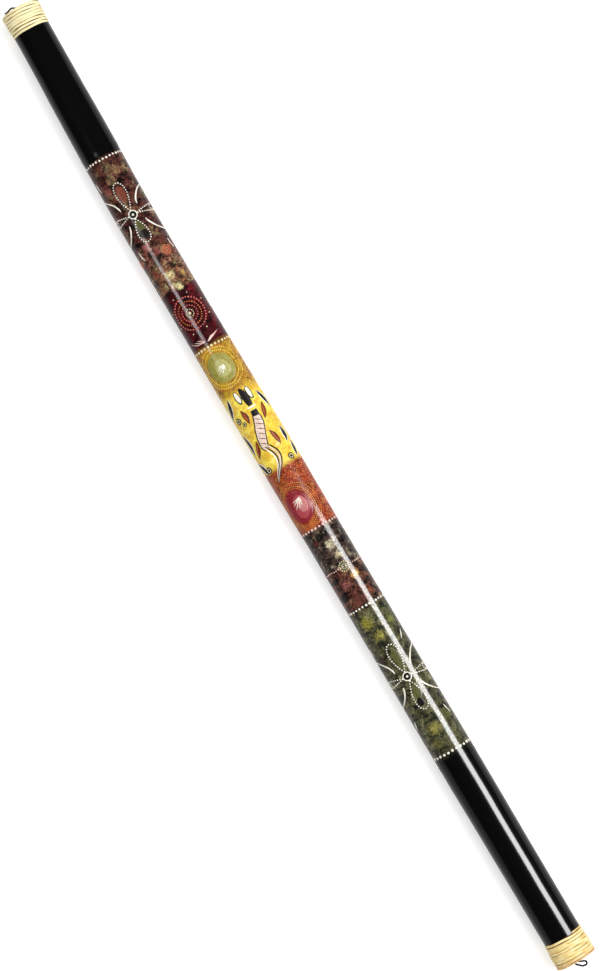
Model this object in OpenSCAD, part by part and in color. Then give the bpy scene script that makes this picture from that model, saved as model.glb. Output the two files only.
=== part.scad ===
// Bamboo rainstick, lying along X with its upper end towards -X and its lower end towards +X.
// A bamboo culm, closed by wooden plugs, holds a helix of thin pins and loose pebbles that
// trickle through them. Rattan strip is wound round both ends, and a cord loop hangs from each.

/* [Culm] */
// Length over the two end covers
stick_l = 1200; // [1000:10:1300]
// Outer diameter under the upper rattan wrap
culm_d_upper = 42; // [38:0.5:48]
// Outer diameter under the lower rattan wrap
culm_d_lower = 43.6; // [40:0.5:50]
// Outer diameter at each joint of the bamboo, from the upper end
joint_d = [44.2, 45.2, 45.4]; // [40:0.2:52]
// Outer diameter at the waist between joints, from the upper end
waist_d = [42.9, 43.9]; // [39:0.2:50]
// Outer diameter at the bend
bend_d = 43.6; // [39:0.2:50]
// Diameter of the bore
bore_d = 33; // [28:0.5:36]
// Natural bend of the culm, in degrees
culm_bend = 1.7; // [0:0.1:2.5]
// How far the cleared joint walls stand into the bore
joint_rim = 2.5; // [1:0.5:4]

/* [Rain pins] */
// Diameter of a pin
pin_d = 2.5; // [1.5:0.1:3]
// Distance between pins along the culm
pin_pitch = 12; // [10:1:20]
// Diameter of a pebble
pebble_d = 5; // [3:0.5:6]
// Pebbles that lie together between two crossing pins
pebbles_in_a_row = 9; // [3:1:9]
// How far the pebbles slide to each side
pebble_travel = 20; // [5:1:20]

/* [Ends] */
// Thickness of a wooden end plug
plug_t = 15; // [8:1:25]
// Thickness of a rattan end cover
cover_t = 2.5; // [1.5:0.5:4]
// Width of the rattan strip
strip_w = 3.4; // [2.5:0.1:5]
// Turns in the upper wrap
upper_turns = 8; // [4:1:12]
// Turns in the lower wrap
lower_turns = 9; // [4:1:14]
// How far the upper wrap stands proud at its edge on the culm and at the rim
upper_proud = [0.8, 1.8]; // [0.6:0.1:3]
// How far the lower wrap stands proud at its edge on the culm and at the rim
lower_proud = [1, 2.1]; // [0.6:0.1:3]
// Diameter of the hanging cord
cord_d = 2; // [1.5:0.1:2.4]
// Room round the two cord strands in the hole of a cover and its plug
cord_room = 0.4; // [0.2:0.1:1]
// Diameter of the knot behind a plug
knot_d = 8; // [6:0.5:12]

/* [Hidden] */
$fn = 96;

glue_gap = 0.05;         // between glued round faces
seam_turn = 11.25;       // turns the seam of each turned face clear of the pin holes
pin_glue = 0.1;          // glue round a pin in its hole
pebble_gap = 0.3;        // under a pebble, and between two
half_l = stick_l / 2;
culm_end = half_l - cover_t;
joint_s = [-420, -48, 348];        // where the bamboo's joints are, from the middle
waist_s = [-235, 100];
upper_wrap_l = upper_turns * strip_w;
lower_wrap_l = lower_turns * strip_w;
seat_extra = 4;          // straight part of the culm beyond a wrap
upper_seat = -half_l + upper_wrap_l + seat_extra;
lower_seat = half_l - lower_wrap_l - seat_extra;

// The bend is one small angle between two straight runs, which a short band joins.
bend_s = -348;
bend_gap = 0.5;          // from the bend to the end of each run
band_half = 4;
band_extra = 0.1;        // how far the band stands out of the runs, outside and inside
lower_slope = culm_bend * (half_l + bend_s) / stick_l;
upper_slope = culm_bend - lower_slope;
bow = (half_l - bend_s) * sin(lower_slope);

// Both wraps touch the ground, so the thicker lower end lifts the axis a little.
upper_rest_r = culm_d_upper / 2 + upper_proud[1];
lower_rest_r = culm_d_lower / 2 + lower_proud[1];
lie = asin((lower_rest_r - upper_rest_r) / stick_l);
axis_z = (lower_rest_r + upper_rest_r) / 2;
// The outermost sides at the lower rim and at the bend lie at equal distances from Y = 0.
bend_y = (bend_d / 2 - lower_rest_r - bow) / 2;

big = 60;                // a half width that is clear of the culm

// Pins: each crosses the bore through both walls, a turn further round than the last.
pin_inset = 42;          // first pin from the end of the stick
pin_turn = 40;
pin_first = -half_l + pin_inset;
pin_count = floor((stick_l - 2 * pin_inset) / pin_pitch);
pin_short = 0.2;         // a pin is this much shorter than the chord between its holes' rims
upright_pin = 3;         // this pin stands upright, and every ninth after it
lane_pins = 9;
joint_rim_t = 4;
pebble_pitch = pebble_d + pebble_gap;
row_half = (pebbles_in_a_row - 1) * pebble_pitch / 2 + pebble_d / 2;
row_reach = row_half + pebble_travel;
rim_clear = 1;           // from a row at the end of its travel to a joint's rim or a knot
rim_keep = row_reach + rim_clear + joint_rim_t / 2;
lane_play = max(0, (lane_pins * pin_pitch - pin_d) / 2 - row_reach - pebble_gap);

// The cord's two strands lie one above the other in the hole. The loop starts just outside it.
strand_gap = 0.2;
strand_up = (cord_d + strand_gap) / 2;
cord_hole_d = 2 * (strand_up + cord_d / 2 + cord_room);
knot_bite = 1;           // how far the strands run into the knot
loop_out = 1;
upper_exit = exit_at(-1);
lower_exit = exit_at(1);

// Points of each loop from its exit, in millimetres.
LOWER_LOOP = [
    [0, 0, 1], [1, 0, 1], [2, 1, 1], [3, 2.5, 0.5], [4, 4.5, -0.5], [5, 6.5, -1.5],
    [6.5, 8, -3], [8.5, 8, -5], [10, 7, -6.5], [10.5, 5, -8], [10, 2.5, -9],
    [8.5, 0.5, -9.5], [7, -1, -9], [5.5, -2.5, -8], [4, -3, -6.5], [2.5, -3, -5],
    [1.5, -2, -3.5], [1, -1, -2], [0.5, 0, -1], [0, 0, -1]
];
UPPER_LOOP = [
    [0, 0, 1], [-1, 0, 1], [-2, -0.5, 1], [-2.5, -1.5, 1], [-3, -3, 1.5], [-3.5, -4.5, 2],
    [-4.5, -6, 2.5], [-5, -8, 3], [-4.5, -10, 3], [-4, -12, 2.5], [-3.5, -13.5, 1.5],
    [-3.5, -15, 0], [-4.5, -16, -2], [-4.5, -15, -4], [-4, -13.5, -5.5],
    [-3.5, -11.5, -6.5], [-3, -9.5, -7], [-2.5, -7.5, -6.5], [-2.5, -5.5, -5.5],
    [-2, -4, -4.5], [-2, -2.5, -3.5], [-1.5, -1.5, -2.5], [-1, -0.5, -1.5], [-0.5, 0, -1],
    [0, 0, -1]
];

// The culm's outer outline above and below the bend, as [s from its middle, diameter].
UPPER_OUTLINE = [
    [-culm_end, culm_d_upper],
    [upper_seat, culm_d_upper],
    [joint_s[0], joint_d[0]],
    [bend_s - 2 * band_half, bend_d],
    [bend_s - bend_gap, bend_d]
];
LOWER_OUTLINE = [
    [bend_s + bend_gap, bend_d],
    [bend_s + 2 * band_half, bend_d],
    [waist_s[0], waist_d[0]],
    [joint_s[1], joint_d[1]],
    [waist_s[1], waist_d[1]],
    [joint_s[2], joint_d[2]],
    [lower_seat, culm_d_lower],
    [culm_end, culm_d_lower]
];
function culm_d_at(s) = lookup(s, concat(UPPER_OUTLINE, LOWER_OUTLINE));

// The axis's direction in plan, and its point, at s along it from its middle.
function heading(s) = s >= bend_s ? lower_slope : -upper_slope;
function plan_point(s) =
    [bend_s + (s - bend_s) * cos(heading(s)), bend_y + (s - bend_s) * sin(heading(s)), 0];
function axis_point(s) =
    let (p = plan_point(s)) [p.x * cos(lie), p.y, axis_z + p.x * sin(lie)];
function exit_at(side) = axis_point(side * half_l) + [side * loop_out, 0, 0];

// Lays a child on the ground with the culm.
module lying() {
    translate([0, 0, axis_z]) rotate([0, -lie, 0]) children();
}

// Puts a child on the culm, s from its middle, with the child's X along the axis.
module on_culm(s) {
    lying() translate(plan_point(s)) rotate([0, 0, heading(s)]) children();
}

// Turns an outline of [radius, s] points about the culm's axis; s counts from at.
module turned(outline, at) {
    on_culm(at) rotate([seam_turn, 0, 0]) rotate([0, 90, 0])
        rotate_extrude() polygon([for (p = outline) [p[0], p[1] - at]]);
}

// The bore's outline past the rim of the joint at s, read towards the upper end.
function rim_outline(s) = [
    [bore_d / 2, s + joint_rim_t / 2 + joint_rim / 2],
    [bore_d / 2 - joint_rim, s + joint_rim_t / 2],
    [bore_d / 2 - joint_rim, s - joint_rim_t / 2],
    [bore_d / 2, s - joint_rim_t / 2 - joint_rim / 2]
];

// A straight run of the culm: its outer outline out, and the bore with its rims back.
module run(outline, rims) {
    ends = [outline[0][0], outline[len(outline) - 1][0]];
    turned(concat(
        [for (p = outline) [p[1] / 2, p[0]]],
        [[bore_d / 2, ends[1]]],
        [for (s = rims) for (p = rim_outline(s)) p],
        [[bore_d / 2, ends[0]]]
    ), ends[0]);
}

// The band that joins the two runs, square to the line that halves the bend.
module bend_band() {
    lying() translate(plan_point(bend_s))
        rotate([0, 90, (lower_slope - upper_slope) / 2])
            difference() {
                cylinder(h = 2 * band_half, d = bend_d + 2 * band_extra, center = true);
                cylinder(h = 3 * band_half, d = bore_d - 2 * band_extra, center = true);
            }
}

// A round rod across the culm where pin number i goes.
module rod_at(i, length, d) {
    on_culm(pin_first + i * pin_pitch)
        rotate([(i - upright_pin) * pin_turn, 0, 0])
            cylinder(h = length, d = d, center = true);
}

module bamboo_tube() {
    color("#141210") difference() {
        union() {
            run(UPPER_OUTLINE, [joint_s[0]]);
            bend_band();
            run(LOWER_OUTLINE, [joint_s[2], joint_s[1]]);
        }
        for (i = [0:pin_count - 1]) rod_at(i, 2 * big, pin_d + 2 * pin_glue);
    }
}

module plug(side) {
    turned([
        [cord_hole_d / 2, side * culm_end],
        [bore_d / 2 - glue_gap, side * culm_end],
        [bore_d / 2 - glue_gap, side * (culm_end - plug_t)],
        [cord_hole_d / 2, side * (culm_end - plug_t)]
    ], side * culm_end);
}

module upper_end_plug() {
    color("#B58B57") plug(-1);
}

module lower_end_plug() {
    color("#B58B57") plug(1);
}

// One flat cover of coiled rattan over the end of the culm and its plug.
module end_cover(side, seat_d) {
    turned([
        [cord_hole_d / 2, side * half_l],
        [seat_d / 2 - glue_gap, side * half_l],
        [seat_d / 2 - glue_gap, side * culm_end],
        [cord_hole_d / 2, side * culm_end]
    ], side * half_l);
}

module upper_end_cover() {
    color("#D9B870") end_cover(-1, culm_d_upper);
}

module lower_end_cover() {
    color("#D9B870") end_cover(1, culm_d_lower);
}

// Rattan strip wound in turns: each turn is a low arch, and the wrap thickens towards the rim.
module wrap(side, seat_d, turns, proud) {
    inside = seat_d / 2 + glue_gap;
    edge = half_l - turns * strip_w;
    arch = 0.35;         // height of each turn's arch
    full_at = 0.6;       // the wrap has its full thickness this far along
    low = 0.04;          // from a turn's edge to the foot of its arch, of its width
    crown = [for (i = [0:turns - 1])
        seat_d / 2 + lookup((i + 0.5) / turns, [[0, proud[0]], [full_at, proud[1]], [1, proud[1]]])];
    turned(concat(
        [[inside, side * edge]],
        [for (i = [0:turns - 1]) for (p = [[low, 1], [0.25, 0.25], [0.5, 0], [0.75, 0.25], [1 - low, 1]])
            [crown[i] - p[1] * arch, side * (edge + (i + p[0]) * strip_w)]],
        [[inside, side * half_l]]
    ), side * half_l);
}

module upper_rattan_wrap() {
    color("#E8CF8C") wrap(-1, culm_d_upper, upper_turns, upper_proud);
}

module lower_rattan_wrap() {
    color("#E8CF8C") wrap(1, culm_d_lower, lower_turns, lower_proud);
}

// Unit vector, and the direction in which a route passes its point i.
function unit(v) = v / norm(v);
function along(route, i) =
    unit(route[min(i + 1, len(route) - 1)] - route[max(i - 1, 0)]);

// A ring of points round a route's point i. No loop runs parallel to keep, so it sets the roll.
function cord_ring(route, i, keep, sides) =
    let (u = unit(cross(along(route, i), keep)), v = cross(along(route, i), u))
    [for (k = [0:sides - 1])
        route[i] + cord_d / 2 * (cos(360 * k / sides) * u + sin(360 * k / sides) * v)];

module cord_along(route, keep) {
    sides = 8;
    n = len(route);
    polyhedron(
        points = [for (i = [0:n - 1]) for (p = cord_ring(route, i, keep, sides)) p],
        faces = concat(
            [[for (k = [0:sides - 1]) k]],
            [for (i = [0:n - 2]) for (k = [0:sides - 1])
                [i * sides + k, (i + 1) * sides + k,
                 (i + 1) * sides + (k + 1) % sides, i * sides + (k + 1) % sides]],
            [[for (k = [sides - 1:-1:0]) (n - 1) * sides + k]]
        )
    );
}

module upper_loop() {
    color("#111111") translate(upper_exit) cord_along(UPPER_LOOP, [1, -0.8, 0.8]);
}

module lower_loop() {
    color("#111111") translate(lower_exit) cord_along(LOWER_LOOP, [0.4, -0.2, 0.8]);
}

// The two strands through the cover and plug, and the knot that holds them inside.
module knot(side) {
    strand_l = cover_t + plug_t;
    on_culm(side * half_l) rotate([0, 90 * side, 0]) {
        for (up = [-strand_up, strand_up])
            translate([up, 0, -strand_l - knot_bite])
                cylinder(h = strand_l + knot_bite, d = cord_d, $fn = 24);
        translate([0, 0, -strand_l - knot_d / 2]) rotate([90, 0, 0])
            sphere(d = knot_d, $fn = 48);
    }
}

module upper_loop_knot() {
    color("#111111") knot(-1);
}

module lower_loop_knot() {
    color("#111111") knot(1);
}

// Pins between two places on the culm, cut off flush with its surface.
module pins(from, to) {
    for (i = [0:pin_count - 1]) {
        s = pin_first + i * pin_pitch;
        flush_l = 2 * sqrt(pow(culm_d_at(s) / 2, 2) - pow(pin_d / 2, 2)) - pin_short;
        if (s >= from && s < to) rod_at(i, flush_l, pin_d);
    }
}

module pins_upper_end() {
    color("#C9A66B") pins(-half_l, joint_s[0]);
}

module pins_upper_middle() {
    color("#C9A66B") pins(joint_s[0], joint_s[1]);
}

module pins_lower_middle() {
    color("#C9A66B") pins(joint_s[1], joint_s[2]);
}

module pins_lower_end() {
    color("#C9A66B") pins(joint_s[2], half_l);
}

// How far a row at s has to move along its lane to keep clear of a joint's rim.
function push_from_joint(s) =
    let (push = [for (j = joint_s) if (abs(s - j) < rim_keep)
        (s < j ? -1 : 1) * (rim_keep - abs(s - j))])
    len(push) > 0 ? push[0] : 0;

// The middles of the rows, one in each free lane between two upright pins where it fits.
lane_count = ceil((pin_count - upright_pin) / lane_pins);
row_middles = [for (m = [0:lane_count - 1])
    let (middle = pin_first + (upright_pin + lane_pins * (m + 0.5)) * pin_pitch,
         push = push_from_joint(middle))
    if (abs(push) <= lane_play
        && middle + push + row_reach + rim_clear < culm_end - plug_t - knot_d) middle + push];

// Rows of pebbles on the low side of the bore, between two places on the culm.
module pebbles(from, to) {
    for (s = row_middles) if (s >= from && s < to)
        for (i = [0:pebbles_in_a_row - 1])
            on_culm(s + (i - (pebbles_in_a_row - 1) / 2) * pebble_pitch)
                translate([0, 0, -bore_d / 2 + pebble_gap + pebble_d / 2])
                    sphere(d = pebble_d, $fn = 32);
}

module pebbles_upper_end() {
    color("#8E8578") pebbles(-half_l, -half_l / 2);
}

module pebbles_upper_middle() {
    color("#8E8578") pebbles(-half_l / 2, 0);
}

module pebbles_lower_middle() {
    color("#8E8578") pebbles(0, half_l / 2);
}

module pebbles_lower_end() {
    color("#8E8578") pebbles(half_l / 2, half_l);
}

bamboo_tube();
upper_end_plug();
lower_end_plug();
upper_rattan_wrap();
lower_rattan_wrap();
upper_end_cover();
lower_end_cover();
upper_loop();
lower_loop();
upper_loop_knot();
lower_loop_knot();
pins_upper_end();
pins_upper_middle();
pins_lower_middle();
pins_lower_end();
pebbles_upper_end();
pebbles_upper_middle();
pebbles_lower_middle();
pebbles_lower_end();
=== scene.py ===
"""A painted bamboo rainstick, its rattan-wound ends and its two cord loops.

Lengths in the making functions are in millimetres, as on the maker's bench, and each mesh
is turned to metres when it is built. A place on the culm is given by s, the distance along
its axis from the middle, and by v, the distance round its girth from the top line.
"""
import math
import random

import bpy
import numpy as np
from mathutils import Matrix, Vector


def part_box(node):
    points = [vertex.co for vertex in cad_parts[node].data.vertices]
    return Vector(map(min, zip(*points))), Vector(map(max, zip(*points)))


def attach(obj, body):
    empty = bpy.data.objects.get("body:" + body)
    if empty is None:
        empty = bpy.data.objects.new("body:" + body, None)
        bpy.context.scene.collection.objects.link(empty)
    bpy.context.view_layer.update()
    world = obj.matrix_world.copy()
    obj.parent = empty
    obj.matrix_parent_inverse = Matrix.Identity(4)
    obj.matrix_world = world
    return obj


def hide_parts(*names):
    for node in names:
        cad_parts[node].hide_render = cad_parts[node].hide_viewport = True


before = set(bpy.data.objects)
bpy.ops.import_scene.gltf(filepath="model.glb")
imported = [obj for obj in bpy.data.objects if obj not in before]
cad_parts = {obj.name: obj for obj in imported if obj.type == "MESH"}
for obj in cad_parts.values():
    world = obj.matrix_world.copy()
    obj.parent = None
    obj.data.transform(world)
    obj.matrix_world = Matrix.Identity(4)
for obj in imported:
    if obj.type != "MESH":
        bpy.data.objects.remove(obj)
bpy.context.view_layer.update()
M_PER_MM = 0.001
rng = random.Random(11)


# ---------------------------------------------------------------- sizes of the stick

HALF_L = 600                    # half the length over the covers
COVER_T = 2.5                   # thickness of a coiled cover
CULM_END = HALF_L - COVER_T
SEAT_R = {-1: 21.0, 1: 21.8}    # culm under the wraps, upper end and lower end
STRIP_W = 3.4                   # width of the wound strip
TURNS = {-1: 8, 1: 9}           # turns of strip at the upper end and at the lower end
PROUD = {-1: (0.8, 1.8), 1: (1.0, 2.1)}     # the strip over its seat: first turn, last turns
BORE_R = 16.5
RIM = 2.5                       # how far a cleared joint wall stands into the bore
HOLE_R = 2.5                    # hole for the cord in a cover
CORD_D = 2
LOOP_OUT = 1                    # how far past its cover a loop begins
JOINTS = (-420, -48, 348)       # places of the culm's joints
BEND_S, BEND_Y = -348, -4.0     # place of the bend, and how far it stands to the right
BEND_SOFT = 25                  # half the length over which the bend is eased
LACQUER_T = 0.15                # lacquer and paint over the bare culm

# Outer radius of the bare culm at places along it.
OUTLINE = [(-597.5, 21), (-568.8, 21), (-420, 22.1), (-348, 21.8), (-235, 21.45), (-48, 22.6),
           (100, 21.95), (348, 22.7), (565, 21.8), (597.5, 21.8)]


def middle_of(name):
    """The middle of a piece of the design, in millimetres."""
    low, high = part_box(name)
    return np.array((low + high) / 2 / M_PER_MM)


UPPER_FACE, LOWER_FACE = middle_of("upper_end_cover"), middle_of("lower_end_cover")
BEND = np.array([BEND_S, BEND_Y, np.interp(
    BEND_S, [UPPER_FACE[0], LOWER_FACE[0]], [UPPER_FACE[2], LOWER_FACE[2]])])


def unit(v):
    """A vector of length one in the direction of v."""
    return v / np.linalg.norm(v)


UPPER_RUN, LOWER_RUN = unit(BEND - UPPER_FACE), unit(LOWER_FACE - BEND)


def axis_at(s):
    """The axis's points at s, and its directions there. The bend is eased over a short way."""
    s = np.asarray(s, float)[..., None]
    d = np.clip(s - BEND_S, -BEND_SOFT, BEND_SOFT)
    beyond = s - BEND_S - d
    eased = (LOWER_RUN * (d + BEND_SOFT) ** 2 - UPPER_RUN * (BEND_SOFT - d) ** 2) / (4 * BEND_SOFT)
    point = BEND + eased + beyond * np.where(beyond > 0, LOWER_RUN, UPPER_RUN)
    share = (d + BEND_SOFT) / (2 * BEND_SOFT)
    return point, share * LOWER_RUN + (1 - share) * UPPER_RUN


def culm_r(s, turn):
    """Radius of the lacquered culm at s and at turn, in radians from the top."""
    s = np.asarray(s, float)
    at, r = np.array(OUTLINE).T
    i = np.clip(np.searchsorted(at, s) - 1, 0, len(at) - 2)
    t = np.clip((s - at[i]) / (at[i + 1] - at[i]), 0, 1)
    swell = r[i] + (r[i + 1] - r[i]) * (3 * t ** 2 - 2 * t ** 3)
    ridge = sum(0.22 * np.exp(-((s - j) / 2.6) ** 2) - 0.12 * np.exp(-((s - j - 8) / 4) ** 2)
                for j in JOINTS)
    uneven = (0.05 * np.sin(s / 31 + 2 * turn) + 0.04 * np.sin(s / 13.7 - 3 * turn + 1)
              + 0.03 * np.sin(s / 7.3 + turn + 2))
    return swell + ridge + uneven + LACQUER_T


def place(s, turn, r):
    """A point at distance r from the axis, at s along it and turned from the top towards +Y."""
    point, along = axis_at(s)
    side = np.cross(np.array([0.0, 0.0, 1.0]), along)
    side /= np.linalg.norm(side, axis=-1, keepdims=True)
    up = np.cross(along, side)
    turn, r = np.asarray(turn, float)[..., None], np.asarray(r, float)[..., None]
    return point + r * (np.sin(turn) * side + np.cos(turn) * up)


GIRTH_R = 22.2                  # turns a distance round the girth into an angle


def on_skin(s, v, lift):
    """Points on the lacquer at s and v, raised by lift."""
    turn = np.asarray(v, float) / GIRTH_R
    return place(s, turn, culm_r(s, turn) + lift)


# ---------------------------------------------------------------- meshes and materials

def make(name, points, faces, material):
    """A mesh piece from points in millimetres."""
    mesh = bpy.data.meshes.new(name)
    mesh.from_pydata([tuple(p) for p in np.asarray(points) * M_PER_MM], [], faces)
    mesh.validate()
    mesh.shade_smooth()
    mesh.materials.append(material)
    piece = bpy.data.objects.new(name, mesh)
    bpy.context.scene.collection.objects.link(piece)
    return piece


def grid_faces(rings, sides, closed=False):
    """Quads between rings of points, ring after ring; closed joins the last ring to the first."""
    made = []
    for i in range(rings if closed else rings - 1):
        a, b = i * sides, (i + 1) % rings * sides
        for j in range(sides):
            k = (j + 1) % sides
            made.append((a + j, a + k, b + k, b + j))
    return made


def capped_faces(rings, sides):
    """Quads between rings of points, and a face over each end."""
    ends = [tuple(range(sides))[::-1], tuple(range((rings - 1) * sides, rings * sides))]
    return grid_faces(rings, sides) + ends


def linear(hex_colour):
    """An sRGB hex colour as linear RGBA."""
    parts = [int(hex_colour[i:i + 2], 16) / 255 for i in (1, 3, 5)]
    return [p / 12.92 if p <= 0.04045 else ((p + 0.055) / 1.055) ** 2.4 for p in parts] + [1.0]


def add(tree, kind, inputs=(), **settings):
    """Adds a node with its settings, and fills or links its inputs."""
    made = tree.nodes.new(kind)
    for name, value in settings.items():
        setattr(made, name, value)
    for key, value in dict(inputs).items():
        if isinstance(value, bpy.types.NodeSocket):
            tree.links.new(value, made.inputs[key])
        else:
            made.inputs[key].default_value = value
    return made


MIX_F, MIX_A, MIX_B, MIX_OUT = 0, 6, 7, 2       # the colour sockets of a Mix node


def blend_of(tree, share, first, second, how="MIX"):
    """The first colour blended with the second by share."""
    made = add(tree, "ShaderNodeMix", {MIX_F: share, MIX_A: first, MIX_B: second},
               data_type="RGBA", blend_type=how)
    return made.outputs[MIX_OUT]


def ramp_of(tree, factor, stops):
    """A colour ramp with stops of (place, hex colour or grey)."""
    made = add(tree, "ShaderNodeValToRGB", {0: factor})
    elements = made.color_ramp.elements
    while len(elements) < len(stops):
        elements.new(0.5)
    for element, (at, colour) in zip(elements, stops):
        element.position = at
        element.color = linear(colour) if isinstance(colour, str) else [colour] * 3 + [1.0]
    return made.outputs[0]


def point_of(tree):
    """The point that is shaded, in metres."""
    return add(tree, "ShaderNodeTexCoord").outputs["Object"]


def x_of(tree):
    """How far along the stick the shaded point is, in metres."""
    return add(tree, "ShaderNodeSeparateXYZ", {0: point_of(tree)}).outputs[0]


def grain(tree, cell_mm, detail=3.0, roughness=0.55, offset=(0, 0, 0), distortion=0.0):
    """Noise whose cells measure cell_mm along X, Y and Z. It gives a value of about 0 to 1."""
    scaled = add(tree, "ShaderNodeMapping", {
        "Vector": point_of(tree), "Location": offset,
        "Scale": [1 / (c * M_PER_MM) for c in cell_mm]}).outputs[0]
    return add(tree, "ShaderNodeTexNoise", {
        "Vector": scaled, "Scale": 1.0, "Detail": detail, "Roughness": roughness,
        "Distortion": distortion}).outputs["Fac"]


def surface(name, colour_of, bump_of=None, bump_mm=0.1, **sockets):
    """A material whose colour, and bump height if it has one, come from nodes."""
    made = bpy.data.materials.new(name)
    made.use_nodes = True
    tree = made.node_tree
    shader = tree.nodes["Principled BSDF"]
    for key, value in sockets.items():
        shader.inputs[key.replace("_", " ")].default_value = value
    tree.links.new(colour_of(tree), shader.inputs["Base Color"])
    if bump_of:
        bump = add(tree, "ShaderNodeBump", {
            "Height": bump_of(tree), "Distance": bump_mm * M_PER_MM, "Strength": 1.0})
        tree.links.new(bump.outputs[0], shader.inputs["Normal"])
    return made


# ---------------------------------------------------------------- camera

VIEW_DISTANCE = 3.27            # metres from the stick
VIEW_LEAN = math.radians(2.0)   # the camera stands past the middle, towards the lower end
STICK_TURN = math.radians(-59.635)     # which way the stick runs across the view
LOOK_AT = Vector((0.0057, 0.003, 0.0228))
LENS, SENSOR = 111.2, 36        # focal length and frame width


def make_camera():
    """A camera high over the stick, turned so that the upper end is at the top left."""
    back = Vector((math.sin(VIEW_LEAN), 0, math.cos(VIEW_LEAN)))
    along = Vector((math.cos(VIEW_LEAN), 0, -math.sin(VIEW_LEAN)))
    across = Vector((0, 1, 0))
    c, k = math.cos(STICK_TURN), math.sin(STICK_TURN)
    right = c * along - k * across
    up = k * along + c * across
    data = bpy.data.cameras.new("camera")
    data.lens = LENS
    data.sensor_width = SENSOR
    data.clip_end = 50
    camera = bpy.data.objects.new("camera", data)
    camera.matrix_world = Matrix((right, up, back)).transposed().to_4x4()
    camera.location = LOOK_AT + back * VIEW_DISTANCE
    bpy.context.scene.collection.objects.link(camera)
    bpy.context.scene.camera = camera


make_camera()


# ---------------------------------------------------------------- cord loops

# Points of each loop from where it leaves its cover, the same as in the design.
LOWER_LOOP = [
    (0, 0, 1), (1, 0, 1), (2, 1, 1), (3, 2.5, 0.5), (4, 4.5, -0.5), (5, 6.5, -1.5),
    (6.5, 8, -3), (8.5, 8, -5), (10, 7, -6.5), (10.5, 5, -8), (10, 2.5, -9), (8.5, 0.5, -9.5),
    (7, -1, -9), (5.5, -2.5, -8), (4, -3, -6.5), (2.5, -3, -5), (1.5, -2, -3.5), (1, -1, -2),
    (0.5, 0, -1), (0, 0, -1)]
UPPER_LOOP = [
    (0, 0, 1), (-1, 0, 1), (-2, -0.5, 1), (-2.5, -1.5, 1), (-3, -3, 1.5), (-3.5, -4.5, 2),
    (-4.5, -6, 2.5), (-5, -8, 3), (-4.5, -10, 3), (-4, -12, 2.5), (-3.5, -13.5, 1.5),
    (-3.5, -15, 0), (-4.5, -16, -2), (-4.5, -15, -4), (-4, -13.5, -5.5), (-3.5, -11.5, -6.5),
    (-3, -9.5, -7), (-2.5, -7.5, -6.5), (-2.5, -5.5, -5.5), (-2, -4, -4.5), (-2, -2.5, -3.5),
    (-1.5, -1.5, -2.5), (-1, -0.5, -1.5), (-0.5, 0, -1), (0, 0, -1)]
LOWER_LOOP_L, UPPER_LOOP_L = 0.040, 0.042      # metres of cord from cover to cover


def eased(points, steps):
    """A Catmull-Rom curve through the points, with steps between each two."""
    p = np.array([points[0], *points, points[-1]], float)
    made = []
    for i in range(1, len(p) - 2):
        for t in np.arange(steps) / steps:
            made.append(0.5 * (2 * p[i] + (p[i + 1] - p[i - 1]) * t
                        + (2 * p[i - 1] - 5 * p[i] + 4 * p[i + 1] - p[i + 2]) * t ** 2
                        + (3 * p[i] - p[i - 1] - 3 * p[i + 1] + p[i + 2]) * t ** 3))
    return np.array(made + [p[-2]])


def waxed_cord():
    """Waxed braided polyester cord: black, soft sheen, with the braid's own fine shadow."""
    def colour(tree):
        return ramp_of(tree, grain(tree, (0.5, 0.5, 0.5)), [(0.3, "#060505"), (0.75, "#100E0D")])
    return surface("waxed_braided_cord", colour, lambda t: grain(t, (0.25, 0.25, 0.25)), 0.05,
                   Roughness=0.6, IOR=1.15)


def cord_loop(name, route, exit_point, material):
    """A braided cord along a route: two sets of strands cross on its skin."""
    sides, braid_mm, relief, strands = 20, 2.6, 0.06, 4
    path = eased(route, 10) + exit_point
    run = np.concatenate([[0], np.cumsum(np.linalg.norm(np.diff(path, axis=0), axis=1))])
    along = np.gradient(path, axis=0)
    keep = np.array([0.31, 0.42, 0.85])     # a direction off the cord, carried along it
    points = []
    for p, d, far in zip(path, along, run):
        d = unit(d)
        keep = unit(keep - d * (keep @ d))
        other = np.cross(d, keep)
        for k in range(sides):
            turn = 2 * math.pi * k / sides
            phase = 2 * math.pi * far / braid_mm
            strand = max(math.sin(strands * turn + phase), math.sin(strands * turn - phase))
            r = CORD_D / 2 - relief + relief * strand
            points.append(p + r * (math.cos(turn) * keep + math.sin(turn) * other))
    return make(name, points, capped_faces(len(path), sides), material), path * M_PER_MM


CORD = waxed_cord()
for name, route, side, length in (("upper_loop", UPPER_LOOP, -1, UPPER_LOOP_L),
                                  ("lower_loop", LOWER_LOOP, 1, LOWER_LOOP_L)):
    leaves = axis_at(side * HALF_L)[0] + np.array([side * LOOP_OUT, 0, 0])
    loop, path = cord_loop(name + "_cord", route, leaves, CORD)
    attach(loop, name)
    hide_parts(name)


# ---------------------------------------------------------------- culm

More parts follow.
